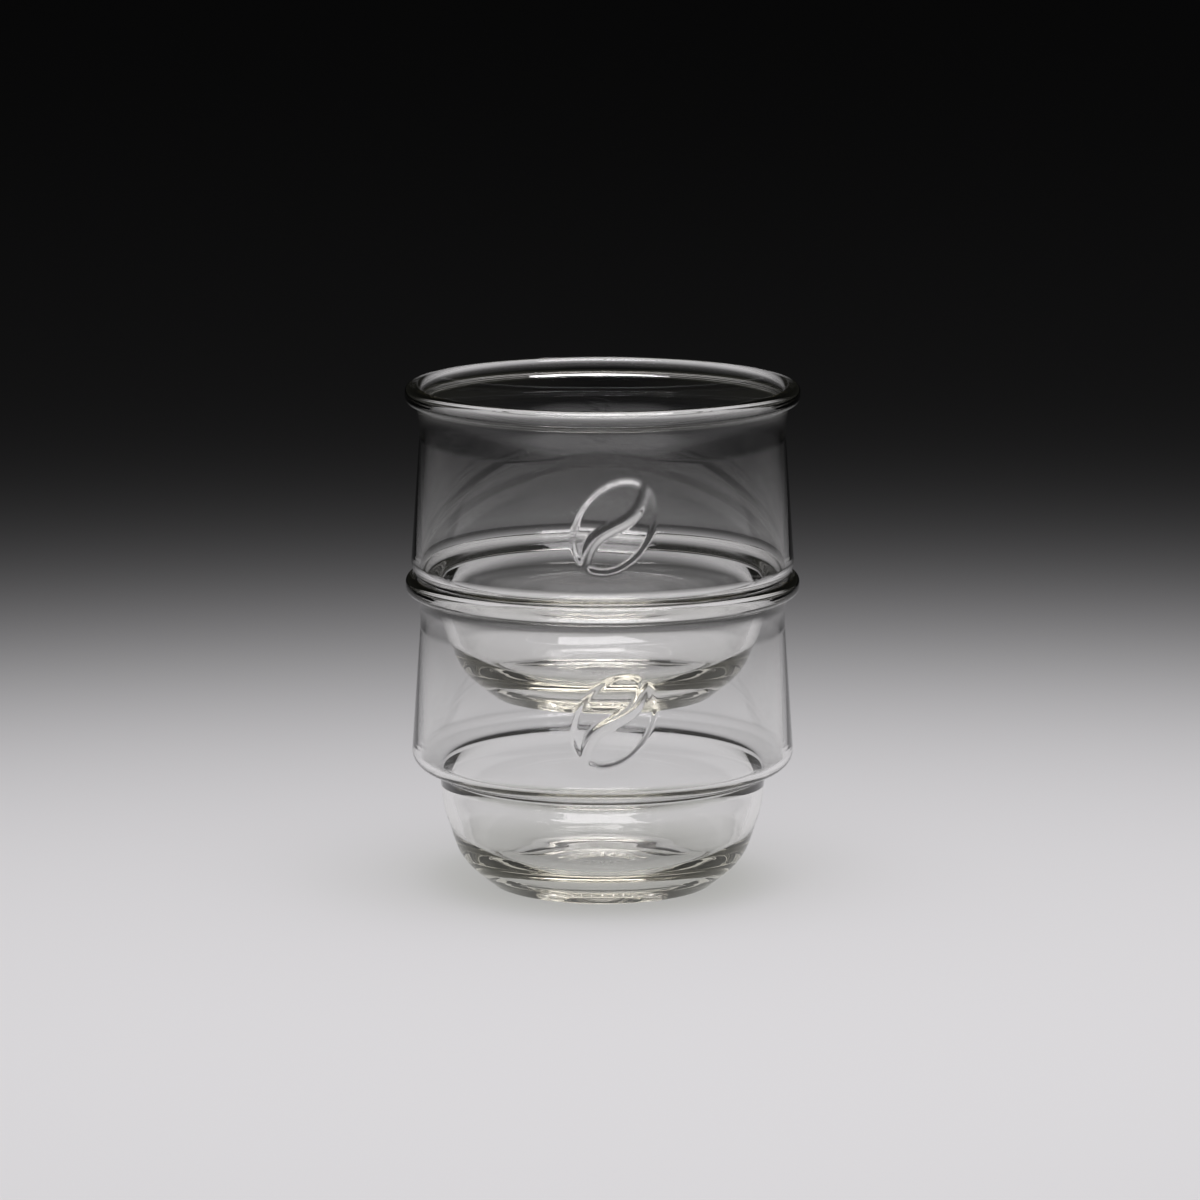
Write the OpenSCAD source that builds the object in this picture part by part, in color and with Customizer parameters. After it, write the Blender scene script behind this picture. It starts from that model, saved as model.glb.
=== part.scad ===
// A stacked pair of cortado glasses. The upper glass drops its bowl through
// the mouth of the lower one and rests its shoulder on the rolled rim.
// Origin: centre of the lower glass's foot, +Z up, raised motif towards -Y.

/* [Rim] */
// Diameter over the rolled rim
rim_d = 76; // [72:0.5:90]
// Height of the rolled rim
rim_h = 3.3; // [2.8:0.05:4]
// Outer rounding at the rim's top
lip_round = 1.35; // [0.9:0.05:1.6]
// Outer rounding at the rim's underside
lip_low_round = 1; // [0.6:0.05:1.4]
// Rounding between the rim's top and the inside of the mouth
mouth_round = 1.2; // [0.8:0.05:1.6]
// Width of the level strip on top of the rim
rim_flat = 0.65; // [0.2:0.05:1.2]
// Rounding in the corner under the rim
under_rim_round = 1; // [0.4:0.05:1.2]
// How far the throat under the rim lies inside the mouth
flare = 0.9; // [0.3:0.05:1.5]
// Height of the stretch that flares out to the rim
flare_h = 8; // [6:0.2:12]
// Rounding where the flare begins
flare_round = 20; // [5:1:30]
// Height of one glass, foot to rim
glass_h = 60.5; // [50:0.5:90]

/* [Wall] */
// Thickness of the wall under the rim
neck_wall = 1.2; // [0.9:0.05:1.5]
// How far the shoulder's corner stands out past the mouth that it rests on
shoulder_rest = 2.25; // [1.8:0.05:2.7]
// Height of the shoulder's corner above the foot
shoulder_h = 24.3; // [22:0.1:28]
// Outer rounding of the shoulder
shoulder_round = 3.2; // [2.4:0.1:3.6]
// Thickness of the wall above the shoulder
shoulder_wall = 1.4; // [1:0.05:1.8]

/* [Bowl] */
// Gap all round between the crease and the throat that the bowl passes through
bowl_play = 2.3; // [1.5:0.1:3.2]
// Height of the crease below the shoulder's corner
crease_drop = 2.7; // [2:0.1:4]
// Rounding in the crease
crease_round = 0.8; // [0.4:0.1:1.2]
// Rounding of the inside behind the crease
crease_in_round = 5.5; // [2:0.5:8]
// How far the bowl's middle lies inside the crease
belly_draw = 0.6; // [0:0.1:1.4]
// Height of the bowl's middle above the foot
belly_h = 15.3; // [12:0.1:18]
// Rounding of the bowl's middle
belly_round = 22; // [8:1:24]
// How far the heel, where the bowl turns in, lies inside the bowl's middle
heel_draw = 3.3; // [2:0.1:5]
// Height of the heel above the foot
heel_h = 5.2; // [4:0.1:7]
// Rounding of the heel
heel_round = 12; // [4:0.5:14]
// Thickness of the bowl's wall
bowl_wall = 2; // [1.4:0.1:2.6]

/* [Base] */
// How far the foot's edge lies inside the heel
foot_draw = 6.2; // [4:0.1:9]
// Rounding at the foot's outer edge
foot_round = 1.5; // [0.5:0.1:2]
// Thickness of the glass from the foot to the inside floor
base_t = 4.3; // [3.6:0.1:7]
// Rounding between the inside floor and the bowl
floor_round = 10; // [4:0.5:14]
// Width of the ring that the glass stands on
foot_land = 3.5; // [2.5:0.1:6]
// Depth of the hollow under the base
punt_h = 0.6; // [0.3:0.05:1]
// How far the side of the hollow leans inwards
punt_lean = 6; // [3:0.1:7]
// Rounding at both ends of the hollow's side
punt_round = 6; // [1:0.5:8]
// Radius of the deeper dimple in the middle of the hollow
dimple_r = 8.8; // [7:0.1:11]
// Depth of the dimple
dimple_h = 0.9; // [0.4:0.05:1.2]
// How far the side of the dimple leans inwards
dimple_lean = 4; // [2:0.1:5]
// Rounding at both ends of the dimple's side
dimple_round = 1; // [0.4:0.1:1.6]
// Number of ribs across the dimple's side
rib_count = 24; // [12:1:30]
// Length of a rib
rib_l = 3.2; // [2.6:0.1:4]
// Width of a rib
rib_w = 0.7; // [0.4:0.05:0.9]

/* [Motif] */
// Length of the raised bean
bean_l = 20; // [12:0.5:22]
// Width of the raised bean
bean_w = 14.5; // [8:0.5:16]
// How far the bean's middle lies below the middle of the wall
bean_drop = 2; // [-2:0.2:3]
// Lean of the bean to the right
bean_lean = 35; // [-60:1:60]
// Turn of the bean round the glass, to the right of the front
bean_turn = 3.5; // [0:0.5:20]
// How far the bean stands out of the wall
bean_rise = 0.5; // [0.2:0.05:0.6]
// Width of the groove along the bean
bean_groove = 1.5; // [0.8:0.1:2]

/* [Stacking] */
// Gap between the upper shoulder and the lower rim at rest
seat_gap = 0.1; // [0.05:0.05:0.5]

/* [Hidden] */
glass_color = [0.86, 0.9, 0.86, 0.45];
// Steps in an arc of the outline, facets round a turn, and points round the bean
arc_steps = 8;
turn_facets = 96;
bean_steps = 48;
bean_share = 0.5;
groove_sway_share = 0.12;

// The radii build inwards from the rim, so the bowl always fits the mouth below
rim_r = rim_d / 2;
mouth_r = rim_r - lip_round - rim_flat - mouth_round;
throat_r = mouth_r - flare;
crease_r = throat_r - bowl_play;
belly_r = crease_r - belly_draw;
heel_r = belly_r - heel_draw;
foot_r = heel_r - foot_draw;
punt_r = foot_r - foot_land;
roof_h = punt_h + dimple_h;

// Corners of the outside, from the dimple under the base up to the rim
dimple_top = [dimple_r - dimple_lean, roof_h];
dimple_edge = [dimple_r, punt_h];
punt_top = [punt_r - punt_lean, punt_h];
punt_edge = [punt_r, 0];
foot_corner = [foot_r, 0];
heel_corner = [heel_r, heel_h];
belly_corner = [belly_r, belly_h];
crease_corner = [crease_r, shoulder_h - crease_drop];
shoulder_corner = [mouth_r + shoulder_rest, shoulder_h];
neck_corner = [throat_r + neck_wall, glass_h - flare_h];
under_rim = [mouth_r + neck_wall, glass_h - rim_h];
lip_low = [rim_r, glass_h - rim_h];
lip_top = [rim_r, glass_h];
mouth_corner = [mouth_r, glass_h];
throat_corner = [throat_r, glass_h - flare_h];

// The inside is the outside moved inwards by each stretch's thickness
shoulder_in = inset(crease_corner, shoulder_corner, neck_corner, shoulder_wall, shoulder_wall);
crease_in = inset(belly_corner, crease_corner, shoulder_corner, bowl_wall, shoulder_wall);
belly_in = inset(heel_corner, belly_corner, crease_corner, bowl_wall, bowl_wall);
floor_in = meet(inset(foot_corner, heel_corner, belly_corner, bowl_wall, bowl_wall), belly_in, base_t);

// Stacked, the rounding of the upper shoulder, or the slope below it, meets that of the lower mouth
mouth_centre = [mouth_r + mouth_round, glass_h - mouth_round];
shoulder_centre = arc_centre(crease_corner, shoulder_corner, neck_corner, shoulder_round);
slope_out = -left_of(unit(shoulder_corner - crease_corner));
seat_reach = shoulder_round + mouth_round + seat_gap;
seat_run = mouth_centre[0] - shoulder_centre[0];
seat_fall = seat_run > seat_reach * slope_out[0]
    ? sqrt(seat_reach * seat_reach - seat_run * seat_run)
    : (seat_run * slope_out[0] - seat_reach) / slope_out[1];
stack_pitch = mouth_centre[1] - shoulder_centre[1] + seat_fall;

bean_z = (shoulder_h + glass_h - rim_h) / 2 - bean_drop;

function unit(v) = v / norm(v);
function left_of(v) = [-v[1], v[0]];
function turn_of(a, b) = a[0] * b[1] - a[1] * b[0];

// Half of the angle at the corner q of the path p, q, s
function half_angle(p, q, s) = acos(unit(p - q) * unit(s - q)) / 2;

// The corner q of the path p, q, s after its two sides move left by t_in and t_out
function inset(p, q, s, t_in, t_out) =
    let (u = unit(q - p),
         v = unit(s - q),
         a = q + left_of(u) * t_in,
         b = q + left_of(v) * t_out)
    a + u * turn_of(b - a, v) / turn_of(u, v);

// The point at height z on the line through a and b
function meet(a, b, z) = a + (b - a) * (z - a[1]) / (b[1] - a[1]);

// Centre of the arc of radius rad that rounds the corner q of the path p, q, s
function arc_centre(p, q, s, rad) =
    q + unit(unit(p - q) + unit(s - q)) * rad / sin(half_angle(p, q, s));

// Points of that arc, from the side of p to the side of s
function arc_points(p, q, s, rad) =
    let (c = arc_centre(p, q, s, rad),
         half = half_angle(p, q, s),
         start = q + unit(p - q) * rad / tan(half) - c,
         first = atan2(start[1], start[0]),
         sweep = (180 - 2 * half) * sign(turn_of(q - p, s - q)))
    [for (i = [0 : arc_steps])
        c + rad * [cos(first + sweep * i / arc_steps), sin(first + sweep * i / arc_steps)]];

// A closed outline from rows of corner and rounding; a rounding shrinks where its sides are too short
function rounded(rows) =
    let (n = len(rows),
         last = n - 1,
         before = [for (i = [0 : last]) rows[(i + last) % n][0]],
         here = [for (row = rows) row[0]],
         after = [for (i = [0 : last]) rows[(i + 1) % n][0]],
         run = [for (i = [0 : last]) rows[i][1] / tan(half_angle(before[i], here[i], after[i]))],
         room = [for (i = [0 : last])
             let (wanted = run[i] + run[(i + 1) % n])
             wanted > 0 ? min(1, norm(after[i] - here[i]) / wanted) : 1])
    [for (i = [0 : last])
        for (point = rows[i][1] > 0
             ? arc_points(before[i], here[i], after[i], rows[i][1] * min(room[i], room[(i + last) % n]))
             : [here[i]])
            point];

// Half of the glass's cross-section
module section() {
    polygon(rounded([
        [[0, roof_h], 0],
        [dimple_top, dimple_round],
        [dimple_edge, dimple_round],
        [punt_top, punt_round],
        [punt_edge, punt_round],
        [foot_corner, foot_round],
        [heel_corner, heel_round],
        [belly_corner, belly_round],
        [crease_corner, crease_round],
        [shoulder_corner, shoulder_round],
        [neck_corner, flare_round],
        [under_rim, under_rim_round],
        [lip_low, lip_low_round],
        [lip_top, lip_round],
        [mouth_corner, mouth_round],
        [throat_corner, flare_round + neck_wall],
        [shoulder_in, shoulder_round - shoulder_wall],
        [crease_in, crease_in_round],
        [belly_in, belly_round - bowl_wall],
        [floor_in, floor_round],
        [[0, base_t], 0]
    ]));
}

// Spokes across the side of the dimple, flush with the hollow's roof round it
module ribs() {
    for (i = [0 : rib_count - 1])
        rotate([0, 0, 360 * i / rib_count])
            translate([dimple_r - rib_l, -rib_w / 2, punt_h])
                cube([rib_l, rib_w, (roof_h + base_t) / 2 - punt_h]);
}

// Outline of the bean with its wavy groove left out, lying flat
module bean_flat() {
    difference() {
        polygon([for (i = [0 : bean_steps - 1])
            bean_share * [bean_w * cos(360 * i / bean_steps), bean_l * sin(360 * i / bean_steps)]]);
        polygon(concat(groove_side(-1), reverse(groove_side(1))));
    }
}

function groove_side(side) =
    [for (i = [-bean_steps / 4 : bean_steps / 4])
        let (along = 4 * i / bean_steps)
        [groove_sway_share * bean_w * sin(180 * along) + side * bean_groove / 2, along * bean_l * bean_share]];

function reverse(list) = [for (i = [len(list) - 1 : -1 : 0]) list[i]];

// The wall's outer skin, standing out by the bean's rise
module bean_skin() {
    rotate_extrude($fn = turn_facets)
        polygon([
            shoulder_corner + [-shoulder_wall / 2, shoulder_round],
            shoulder_corner + [bean_rise, shoulder_round],
            neck_corner + [bean_rise, 0],
            neck_corner + [-neck_wall / 2, 0]
        ]);
}

module bean() {
    intersection() {
        bean_skin();
        translate([0, 0, bean_z])
            rotate([90, bean_lean, bean_turn])
                linear_extrude(height = rim_d)
                    bean_flat();
    }
}

module glass() {
    union() {
        rotate_extrude($fn = turn_facets) section();
        ribs();
        bean();
    }
}

module lower_glass() {
    color(glass_color) glass();
}

module upper_glass() {
    color(glass_color)
        translate([0, 0, stack_pitch])
            glass();
}

lower_glass();
upper_glass();
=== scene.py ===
"""Two clear cortado glasses, one stacked in the other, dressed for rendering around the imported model."""
import math

import bpy
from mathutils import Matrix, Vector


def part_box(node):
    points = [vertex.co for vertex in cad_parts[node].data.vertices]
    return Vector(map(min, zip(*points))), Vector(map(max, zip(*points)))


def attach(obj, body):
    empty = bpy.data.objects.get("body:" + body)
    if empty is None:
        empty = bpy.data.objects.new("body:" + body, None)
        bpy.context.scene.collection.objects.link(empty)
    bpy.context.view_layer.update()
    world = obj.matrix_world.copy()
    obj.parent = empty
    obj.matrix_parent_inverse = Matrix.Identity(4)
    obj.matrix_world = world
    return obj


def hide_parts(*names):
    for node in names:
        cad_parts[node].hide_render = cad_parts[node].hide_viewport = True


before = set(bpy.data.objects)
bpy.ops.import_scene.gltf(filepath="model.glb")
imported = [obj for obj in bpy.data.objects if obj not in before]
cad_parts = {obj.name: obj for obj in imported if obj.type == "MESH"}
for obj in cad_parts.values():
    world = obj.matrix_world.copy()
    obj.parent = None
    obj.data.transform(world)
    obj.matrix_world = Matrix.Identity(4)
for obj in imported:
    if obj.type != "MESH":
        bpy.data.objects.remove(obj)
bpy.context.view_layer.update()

MM = 0.001

# The glass, in millimetres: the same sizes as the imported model's
RIM_D = 76.0
RIM_H = 3.3
LIP_ROUND = 1.35
LIP_LOW_ROUND = 1.0
MOUTH_ROUND = 1.2
RIM_FLAT = 0.65
UNDER_RIM_ROUND = 1.0
FLARE = 0.9
FLARE_H = 8.0
FLARE_ROUND = 20.0
GLASS_H = 60.5
NECK_WALL = 1.2
SHOULDER_REST = 2.25
SHOULDER_H = 24.3
SHOULDER_ROUND = 3.2
SHOULDER_WALL = 1.4
BOWL_PLAY = 2.3
CREASE_DROP = 2.7
CREASE_ROUND = 0.8
CREASE_IN_ROUND = 5.5
BELLY_DRAW = 0.6
BELLY_H = 15.3
BELLY_ROUND = 22.0
HEEL_DRAW = 3.3
HEEL_H = 5.2
HEEL_ROUND = 12.0
BOWL_WALL = 2.0
FOOT_DRAW = 6.2
FOOT_ROUND = 1.5
BASE_T = 4.3
FLOOR_ROUND = 10.0
FOOT_LAND = 3.5
PUNT_H = 0.6
PUNT_LEAN = 6.0
PUNT_ROUND = 6.0
DIMPLE_R = 8.8
DIMPLE_H = 0.9
DIMPLE_LEAN = 4.0
DIMPLE_ROUND = 1.0
RIB_COUNT = 24
RIB_L = 3.2
RIB_W = 0.7
BEAN_L = 20.0
BEAN_W = 14.5
BEAN_DROP = 2.0
BEAN_LEAN = math.radians(35)
BEAN_TURN = math.radians(3.5)
BEAN_RISE = 0.5
BEAN_GROOVE = 1.5
GROOVE_SWAY_SHARE = 0.12

# How soft the pressed motif and ribs are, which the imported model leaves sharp
BEAN_EDGE = 1.1
BEAN_CROWN_SHARE = 0.35
GROOVE_EDGE = 0.9
RIB_EDGE = 0.35

# How finely the meshes are cut: columns round a turn, and the longest steps in millimetres
COLUMNS = 216
COLUMNS_PER_RIB = 12
BEAN_SPLIT = 3
ARC_STEP = 0.35
ARC_STEPS_MIN = 4
BEAN_STEP = 0.4
RIB_STEP = 0.4
DETAIL_MARGIN = 1.0

# Shares of a turn: where the front is, and how near two points of a ring count as one
FRONT_TURN = 0.75
SAME_TURN = 1e-9

# Glass: clear, with an olive tint that shows in its depth
GLASS_IOR = 1.515
TINT = (0.875, 0.848, 0.72, 1)
TINT_DENSITY = 20.0
SHADOW_CLEAR = (0.95, 0.955, 0.95, 1)

# Floor, in metres: painted light in the floor's colour, a painted pool of light that fades to painted shade,
# nearly black far off, and painted shade that dims it in front and at the sides
FLOOR_HALF = 8.0
FLOOR_DROP = 0.00005
POOL_AT = (0.05, -0.55, 0.0)
POOL_R = 0.76
POOL_FADE = 0.07
PAINTED_POOL_WHITE = 0.735
FRONT_END = 0.38
FRONT_FADE = 0.025
SIDE_END = 0.24
SIDE_FADE = 0.02
PAINTED_DIM_SHARE = 0.07
PAINTED_FAR_SHADE = 0.0095

# Dark studio, a few times brighter towards its sides, with some light from all round on matt surfaces
SEEN_DARK = (0.012, 0.012, 0.010, 1)
SIDE_GLOW = 5.0
SOFT_LIGHT = (0.2, 0.2, 0.205, 1)
LAMP_AT = (0.05, -0.1, 1.1)
LAMP_AIM = (0.02, 0.0, 0.0)
LAMP_SIZE = (0.75, 0.62)
LAMP_WATTS = 10.3
LAMP_COLOR = (1.0, 0.975, 1.0)

# The photograph's camera, in metres and millimetres of lens
CAMERA_AT = (-0.0005, -1.140, 0.2651)
CAMERA_PITCH = math.radians(79.57)
CAMERA_LENS = 180.05
CAMERA_SENSOR = 36.0
CAMERA_NEAR = 0.01
CAMERA_FAR = 50.0

BOUNCES = 32
MIRROR_BOUNCES = 16


def unit(v):
    size = math.hypot(*v)
    return (v[0] / size, v[1] / size)


def minus(a, b):
    return (a[0] - b[0], a[1] - b[1])


def along(a, v, t):
    return (a[0] + v[0] * t, a[1] + v[1] * t)


def left_of(v):
    return (-v[1], v[0])


def turn_of(a, b):
    return a[0] * b[1] - a[1] * b[0]


def smooth(t):
    """0 below 0, 1 above 1, and a soft step between."""
    t = min(1.0, max(0.0, t))
    return t * t * (3 - 2 * t)


def inset(p, q, s, t_in, t_out):
    """The corner q of the path p, q, s after its two sides move left by t_in and t_out."""
    u, v = unit(minus(q, p)), unit(minus(s, q))
    a = along(q, left_of(u), t_in)
    b = along(q, left_of(v), t_out)
    return along(a, u, turn_of(minus(b, a), v) / turn_of(u, v))


def meet(a, b, z):
    """The point at height z on the line through a and b."""
    return along(a, minus(b, a), (z - a[1]) / (b[1] - a[1]))


def half_angle(p, q, s):
    u, v = unit(minus(p, q)), unit(minus(s, q))
    return math.acos(u[0] * v[0] + u[1] * v[1]) / 2


def arc_points(p, q, s, rad):
    """Points of the arc of radius rad that rounds the corner q of the path p, q, s."""
    u, v = unit(minus(p, q)), unit(minus(s, q))
    half = half_angle(p, q, s)
    centre = along(q, unit((u[0] + v[0], u[1] + v[1])), rad / math.sin(half))
    start = minus(along(q, u, rad / math.tan(half)), centre)
    first = math.atan2(start[1], start[0])
    sweep = math.copysign(math.pi - 2 * half, turn_of(minus(q, p), minus(s, q)))
    steps = max(ARC_STEPS_MIN, math.ceil(abs(sweep) * rad / ARC_STEP))
    points = []
    for i in range(steps + 1):
        angle = first + sweep * i / steps
        points.append(along(centre, (math.cos(angle), math.sin(angle)), rad))
    return points


def rounded(rows):
    """A closed outline from rows of corner and rounding; a rounding shrinks where its sides are too short."""
    n = len(rows)
    here = [row[0] for row in rows]
    run = [rows[i][1] / math.tan(half_angle(here[i - 1], here[i], here[(i + 1) % n])) for i in range(n)]
    room = []
    for i in range(n):
        wanted = run[i] + run[(i + 1) % n]
        side = math.hypot(*minus(here[(i + 1) % n], here[i]))
        room.append(min(1.0, side / wanted) if wanted > 0 else 1.0)
    points = []
    for i in range(n):
        rad = rows[i][1] * min(room[i], room[i - 1])
        points += arc_points(here[i - 1], here[i], here[(i + 1) % n], rad) if rad > 0 else [here[i]]
    return points


# Radii and corners of the outside, from the dimple under the base up to the rim
rim_r = RIM_D / 2
mouth_r = rim_r - LIP_ROUND - RIM_FLAT - MOUTH_ROUND
throat_r = mouth_r - FLARE
crease_r = throat_r - BOWL_PLAY
belly_r = crease_r - BELLY_DRAW
heel_r = belly_r - HEEL_DRAW
foot_r = heel_r - FOOT_DRAW
punt_r = foot_r - FOOT_LAND
roof_h = PUNT_H + DIMPLE_H
bean_z = (SHOULDER_H + GLASS_H - RIM_H) / 2 - BEAN_DROP
foot_corner = (foot_r, 0.0)
heel_corner = (heel_r, HEEL_H)
belly_corner = (belly_r, BELLY_H)
crease_corner = (crease_r, SHOULDER_H - CREASE_DROP)
shoulder_corner = (mouth_r + SHOULDER_REST, SHOULDER_H)
neck_corner = (throat_r + NECK_WALL, GLASS_H - FLARE_H)

# The inside is the outside moved inwards by each stretch's thickness
shoulder_in = inset(crease_corner, shoulder_corner, neck_corner, SHOULDER_WALL, SHOULDER_WALL)
crease_in = inset(belly_corner, crease_corner, shoulder_corner, BOWL_WALL, SHOULDER_WALL)
belly_in = inset(heel_corner, belly_corner, crease_corner, BOWL_WALL, BOWL_WALL)
floor_in = meet(inset(foot_corner, heel_corner, belly_corner, BOWL_WALL, BOWL_WALL), belly_in, BASE_T)

OUTLINE = [
    ((0.0, roof_h), 0.0),
    ((DIMPLE_R - DIMPLE_LEAN, roof_h), DIMPLE_ROUND),
    ((DIMPLE_R, PUNT_H), DIMPLE_ROUND),
    ((punt_r - PUNT_LEAN, PUNT_H), PUNT_ROUND),
    ((punt_r, 0.0), PUNT_ROUND),
    (foot_corner, FOOT_ROUND),
    (heel_corner, HEEL_ROUND),
    (belly_corner, BELLY_ROUND),
    (crease_corner, CREASE_ROUND),
    (shoulder_corner, SHOULDER_ROUND),
    (neck_corner, FLARE_ROUND),
    ((mouth_r + NECK_WALL, GLASS_H - RIM_H), UNDER_RIM_ROUND),
    ((rim_r, GLASS_H - RIM_H), LIP_LOW_ROUND),
    ((rim_r, GLASS_H), LIP_ROUND),
    ((mouth_r, GLASS_H), MOUTH_ROUND),
    ((throat_r, GLASS_H - FLARE_H), FLARE_ROUND + NECK_WALL),
    (shoulder_in, SHOULDER_ROUND - SHOULDER_WALL),
    (crease_in, CREASE_IN_ROUND),
    (belly_in, BELLY_ROUND - BOWL_WALL),
    (floor_in, FLOOR_ROUND),
    ((0.0, BASE_T), 0.0),
]

# Where the meshes are finer: heights and share of a turn of the bean, and radii of the ribs
bean_low = bean_z - BEAN_L / 2 - DETAIL_MARGIN
bean_high = bean_z + BEAN_L / 2 + DETAIL_MARGIN
bean_at = FRONT_TURN + BEAN_TURN / (2 * math.pi)
bean_reach = (BEAN_L / 2 + DETAIL_MARGIN) / (2 * math.pi * throat_r)
rib_near = DIMPLE_R - RIB_L
ribs_from = rib_near - DETAIL_MARGIN
ribs_to = DIMPLE_R + DETAIL_MARGIN


def split(points, low, high, step, axis):
    """The outline with more points, a step apart, where the coordinate axis lies from low to high."""
    out = [points[0]]
    for a, b in zip(points, points[1:]):
        first, last = sorted((a[axis], b[axis]))
        cuts = []
        value = low
        while value <= high + step / 2:
            if first < value < last:
                cuts.append((value - a[axis]) / (b[axis] - a[axis]))
            value += step
        out += [along(a, minus(b, a), t) for t in sorted(cuts)]
        out.append(b)
    return out


def bean_height(x, z):
    """How far the raised bean stands out of the wall at x and z, measured from the bean's middle."""
    across = x * math.cos(BEAN_LEAN) - z * math.sin(BEAN_LEAN)
    up = x * math.sin(BEAN_LEAN) + z * math.cos(BEAN_LEAN)
    reach = math.hypot(2 * across / BEAN_W, 2 * up / BEAN_L)
    if reach >= 1:
        return 0.0
    edge = smooth((1 - reach) * BEAN_W / 2 / BEAN_EDGE)
    crown = 1 - BEAN_CROWN_SHARE * reach * reach
    sway = GROOVE_SWAY_SHARE * BEAN_W * math.sin(2 * math.pi * up / BEAN_L)
    groove = smooth((abs(across - sway) - BEAN_GROOVE / 2 + GROOVE_EDGE / 2) / GROOVE_EDGE)
    return BEAN_RISE * edge * crown * groove


def rib_share(r, turn):
    """How much of a rib there is at a radius and a share of a turn."""
    offset = abs((turn * RIB_COUNT + 0.5) % 1 - 0.5) / RIB_COUNT * 2 * math.pi * r
    side = smooth((RIB_W / 2 - offset) / RIB_EDGE + 0.5)
    ends = smooth((r - rib_near) / RIB_EDGE + 0.5) * smooth((DIMPLE_R - r) / RIB_EDGE + 0.5)
    return side * ends


def glass_rings():
    """Rows of radius, height and kind of ring, from under the base over the rim to the inside floor."""
    points = rounded(OUTLINE)
    top = points.index(max(points, key=lambda p: p[1]))
    outside = split(points[: top + 1], bean_low, bean_high, BEAN_STEP, 1)
    outside = split(outside, ribs_from, ribs_to, RIB_STEP, 0)
    rings = []
    for r, z in outside[1:]:
        if r > crease_r and bean_low <= z <= bean_high:
            rings.append((r, z, "bean"))
        elif z <= roof_h and ribs_from < r < ribs_to:
            rings.append((r, z, "ribs"))
        else:
            rings.append((r, z, "plain"))
    rings += [(r, z, "plain") for r, z in points[top + 1:-1]]
    return rings


def ring_turns():
    """The shares of a turn at which each kind of ring has its points."""
    many = RIB_COUNT * COLUMNS_PER_RIB
    even = [i / many for i in range(many)]
    finer = []
    for turn in even:
        parts = BEAN_SPLIT if abs(turn - bean_at) < bean_reach else 1
        finer += [turn + k / parts / many for k in range(parts)]
    return {"plain": [i / COLUMNS for i in range(COLUMNS)], "ribs": even, "bean": finer}


def ring_point(r, z, kind, turn):
    angle = 2 * math.pi * turn
    if kind == "bean" and math.sin(angle) < 0:
        r += bean_height(r * math.cos(angle - BEAN_TURN), z - bean_z)
    if kind == "ribs" and z > PUNT_H:
        z -= (z - PUNT_H) * rib_share(r, turn)
    return (r * math.cos(angle), r * math.sin(angle), z)


def bridge(low, high):
    """Faces between two rings, of which one may have extra points between those of the other."""
    (a, a_turns), (b, b_turns) = low, high
    n, m = len(a_turns), len(b_turns)
    faces = []
    i = j = 0
    while i < n or j < m:
        next_a = a_turns[i + 1] if i + 1 < n else 1.0
        next_b = b_turns[j + 1] if j + 1 < m else 1.0
        if i < n and j < m and abs(next_a - next_b) < SAME_TURN:
            faces.append((a + i, a + (i + 1) % n, b + (j + 1) % m, b + j))
            i += 1
            j += 1
        elif j >= m or (i < n and next_a < next_b):
            faces.append((a + i, a + (i + 1) % n, b + j % m))
            i += 1
        else:
            faces.append((a + i % n, b + (j + 1) % m, b + j))
            j += 1
    return faces


def glass_mesh(name, foot_z):
    """A glass as one closed mesh: rings of points round the axis, finer where the ribs and the bean are."""
    turns = ring_turns()
    verts = [(0.0, 0.0, roof_h)]
    loops = []
    for r, z, kind in glass_rings():
        loops.append((len(verts), turns[kind]))
        verts += [ring_point(r, z, kind, turn) for turn in turns[kind]]
    first, first_turns = loops[0]
    last, last_turns = loops[-1]
    n, m = len(first_turns), len(last_turns)
    faces = [(0, first + (j + 1) % n, first + j) for j in range(n)]
    for low, high in zip(loops, loops[1:]):
        faces += bridge(low, high)
    faces += [(len(verts), last + j, last + (j + 1) % m) for j in range(m)]
    verts.append((0.0, 0.0, BASE_T))
    mesh = bpy.data.meshes.new(name)
    mesh.from_pydata([(x * MM, y * MM, foot_z + z * MM) for x, y, z in verts], [], faces)
    mesh.polygons.foreach_set("use_smooth", [True] * len(mesh.polygons))
    mesh.update()
    return mesh


def new_tree(material):
    material.use_nodes = True
    tree = material.node_tree
    tree.nodes.clear()
    return tree


def glass_material():
    """Clear glass with a faint olive tint in its depth; light passes through it to what it shades."""
    material = bpy.data.materials.new("clear_glass")
    tree = new_tree(material)
    glass = tree.nodes.new("ShaderNodeBsdfPrincipled")
    glass.inputs["Base Color"].default_value = (1, 1, 1, 1)
    glass.inputs["Roughness"].default_value = 0.0
    glass.inputs["IOR"].default_value = GLASS_IOR
    glass.inputs["Transmission Weight"].default_value = 1.0
    clear = tree.nodes.new("ShaderNodeBsdfTransparent")
    clear.inputs["Color"].default_value = SHADOW_CLEAR
    path = tree.nodes.new("ShaderNodeLightPath")
    mix = tree.nodes.new("ShaderNodeMixShader")
    tree.links.new(path.outputs["Is Shadow Ray"], mix.inputs["Fac"])
    tree.links.new(glass.outputs["BSDF"], mix.inputs[1])
    tree.links.new(clear.outputs["BSDF"], mix.inputs[2])
    tint = tree.nodes.new("ShaderNodeVolumeAbsorption")
    tint.inputs["Color"].default_value = TINT
    tint.inputs["Density"].default_value = TINT_DENSITY
    out = tree.nodes.new("ShaderNodeOutputMaterial")
    tree.links.new(mix.outputs["Shader"], out.inputs["Surface"])
    tree.links.new(tint.outputs["Volume"], out.inputs["Volume"])
    return material


def maths(tree, kind, a, b=None):
    node = tree.nodes.new("ShaderNodeMath")
    node.operation = kind
    for socket, value in zip(node.inputs, (a, b)):
        if isinstance(value, (int, float)):
            socket.default_value = value
        elif value is not None:
            tree.links.new(value, socket)
    return node.outputs[0]


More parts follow.
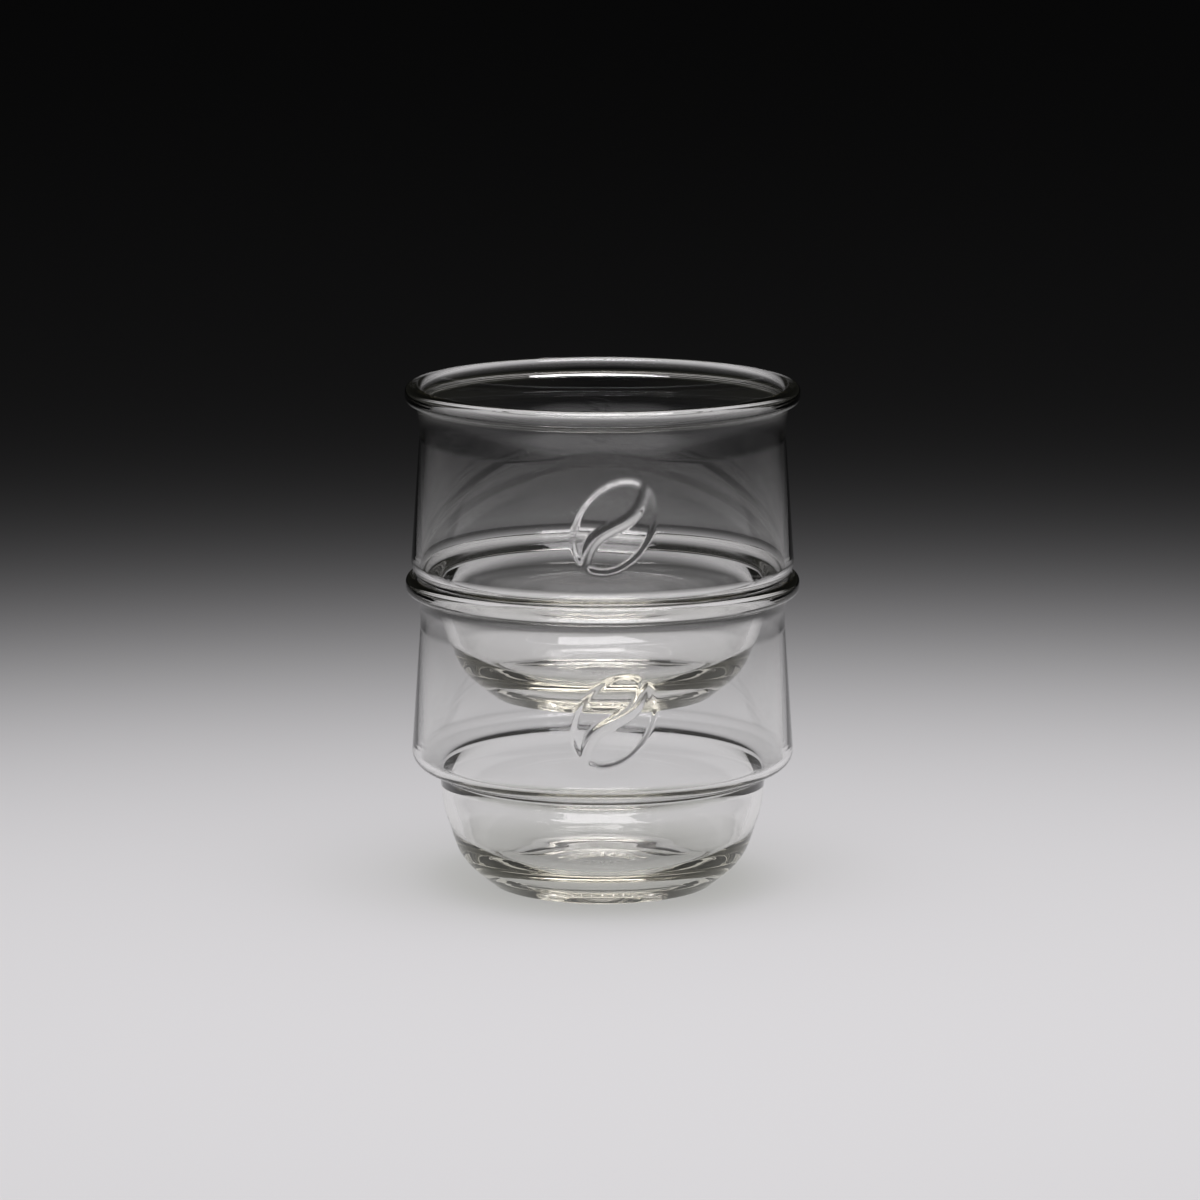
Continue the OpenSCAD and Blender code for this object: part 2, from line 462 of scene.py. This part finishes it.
def fade(tree, value, end, width):
    """A divisor that is 1 well below the end and grows steeply past it."""
    steep = maths(tree, "DIVIDE", maths(tree, "SUBTRACT", value, end), width)
    return maths(tree, "ADD", 1.0, maths(tree, "EXPONENT", steep))


def floor_material():
    """Pale matt floor with a painted pool of light in its colour, fading to painted shade round it."""
    material = bpy.data.materials.new("floor")
    tree = new_tree(material)
    place = tree.nodes.new("ShaderNodeTexCoord").outputs["Object"]
    off = tree.nodes.new("ShaderNodeVectorMath")
    off.operation = "DISTANCE"
    off.inputs[1].default_value = POOL_AT
    tree.links.new(place, off.inputs[0])
    part = tree.nodes.new("ShaderNodeSeparateXYZ")
    tree.links.new(place, part.inputs[0])
    forward = maths(tree, "MULTIPLY", part.outputs["Y"], -1.0)
    aside = maths(tree, "ABSOLUTE", part.outputs["X"])
    # Painted pool of light, with painted shade in front, at the sides and far off, all in the floor's colour
    painted_pool = maths(tree, "DIVIDE", PAINTED_POOL_WHITE, fade(tree, off.outputs["Value"], POOL_R, POOL_FADE))
    front = fade(tree, forward, FRONT_END, FRONT_FADE)
    sides = fade(tree, aside, SIDE_END, SIDE_FADE)
    field = maths(tree, "MULTIPLY", front, sides)
    painted_dim = maths(tree, "ADD", maths(tree, "DIVIDE", 1.0 - PAINTED_DIM_SHARE, field), PAINTED_DIM_SHARE)
    value = maths(tree, "ADD", maths(tree, "MULTIPLY", painted_pool, painted_dim), PAINTED_FAR_SHADE)
    painted_light_colour = tree.nodes.new("ShaderNodeCombineColor")
    for socket in painted_light_colour.inputs:
        tree.links.new(value, socket)
    matt = tree.nodes.new("ShaderNodeBsdfDiffuse")
    tree.links.new(painted_light_colour.outputs[0], matt.inputs["Color"])
    out = tree.nodes.new("ShaderNodeOutputMaterial")
    tree.links.new(matt.outputs["BSDF"], out.inputs["Surface"])
    return material


def show(name, data):
    obj = bpy.data.objects.new(name, data)
    bpy.context.scene.collection.objects.link(obj)
    return obj


def make_floor():
    mesh = bpy.data.meshes.new("floor")
    corners = [(-1, -1), (1, -1), (1, 1), (-1, 1)]
    mesh.from_pydata([(x * FLOOR_HALF, y * FLOOR_HALF, -FLOOR_DROP) for x, y in corners], [], [(0, 1, 2, 3)])
    mesh.materials.append(floor_material())
    show("floor", mesh)


def make_world():
    """A dark studio: nearly black where seen, brighter at its sides, and soft light on matt surfaces."""
    world = bpy.data.worlds.new("studio")
    bpy.context.scene.world = world
    tree = new_tree(world)
    path = tree.nodes.new("ShaderNodeLightPath")
    seen = maths(tree, "MAXIMUM", path.outputs["Is Camera Ray"], path.outputs["Is Glossy Ray"])
    seen = maths(tree, "MAXIMUM", seen, path.outputs["Is Transmission Ray"])
    mix = tree.nodes.new("ShaderNodeMixShader")
    tree.links.new(seen, mix.inputs["Fac"])
    part = tree.nodes.new("ShaderNodeSeparateXYZ")
    tree.links.new(tree.nodes.new("ShaderNodeTexCoord").outputs["Generated"], part.inputs[0])
    aside = maths(tree, "MULTIPLY", part.outputs["X"], part.outputs["X"])
    glow = maths(tree, "ADD", maths(tree, "MULTIPLY", aside, SIDE_GLOW), 1.0)
    soft = tree.nodes.new("ShaderNodeBackground")
    soft.inputs["Color"].default_value = SOFT_LIGHT
    dark = tree.nodes.new("ShaderNodeBackground")
    dark.inputs["Color"].default_value = SEEN_DARK
    tree.links.new(glow, dark.inputs["Strength"])
    tree.links.new(soft.outputs[0], mix.inputs[1])
    tree.links.new(dark.outputs[0], mix.inputs[2])
    out = tree.nodes.new("ShaderNodeOutputWorld")
    tree.links.new(mix.outputs[0], out.inputs["Surface"])


def make_lamp():
    """One rectangular softbox above the glasses."""
    light = bpy.data.lights.new("softbox", "AREA")
    light.shape = "RECTANGLE"
    light.size, light.size_y = LAMP_SIZE
    light.energy = LAMP_WATTS
    light.color = LAMP_COLOR
    lamp = show("softbox", light)
    lamp.location = LAMP_AT
    x, y, z = (b - a for a, b in zip(LAMP_AT, LAMP_AIM))
    lamp.rotation_euler = (math.atan2(math.hypot(x, y), -z), 0, math.atan2(-x, y))


def make_camera():
    lens = bpy.data.cameras.new("camera")
    lens.lens = CAMERA_LENS
    lens.sensor_width = CAMERA_SENSOR
    lens.clip_start = CAMERA_NEAR
    lens.clip_end = CAMERA_FAR
    camera = show("camera", lens)
    camera.location = CAMERA_AT
    camera.rotation_euler = (CAMERA_PITCH, 0, 0)
    bpy.context.scene.camera = camera


def make_glasses():
    material = glass_material()
    for node, body in (("lower_glass", "lower"), ("upper_glass", "upper")):
        glass = show(node + "_clear", glass_mesh(node + "_clear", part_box(node)[0].z))
        glass.data.materials.append(material)
        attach(glass, body)
        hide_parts(node)


make_camera()
make_glasses()
make_floor()
make_world()
make_lamp()
scene = bpy.context.scene
scene.view_settings.view_transform = "Standard"
scene.cycles.caustics_refractive = False
scene.cycles.caustics_reflective = False
scene.cycles.max_bounces = BOUNCES
scene.cycles.transmission_bounces = BOUNCES
scene.cycles.transparent_max_bounces = BOUNCES
scene.cycles.glossy_bounces = MIRROR_BOUNCES
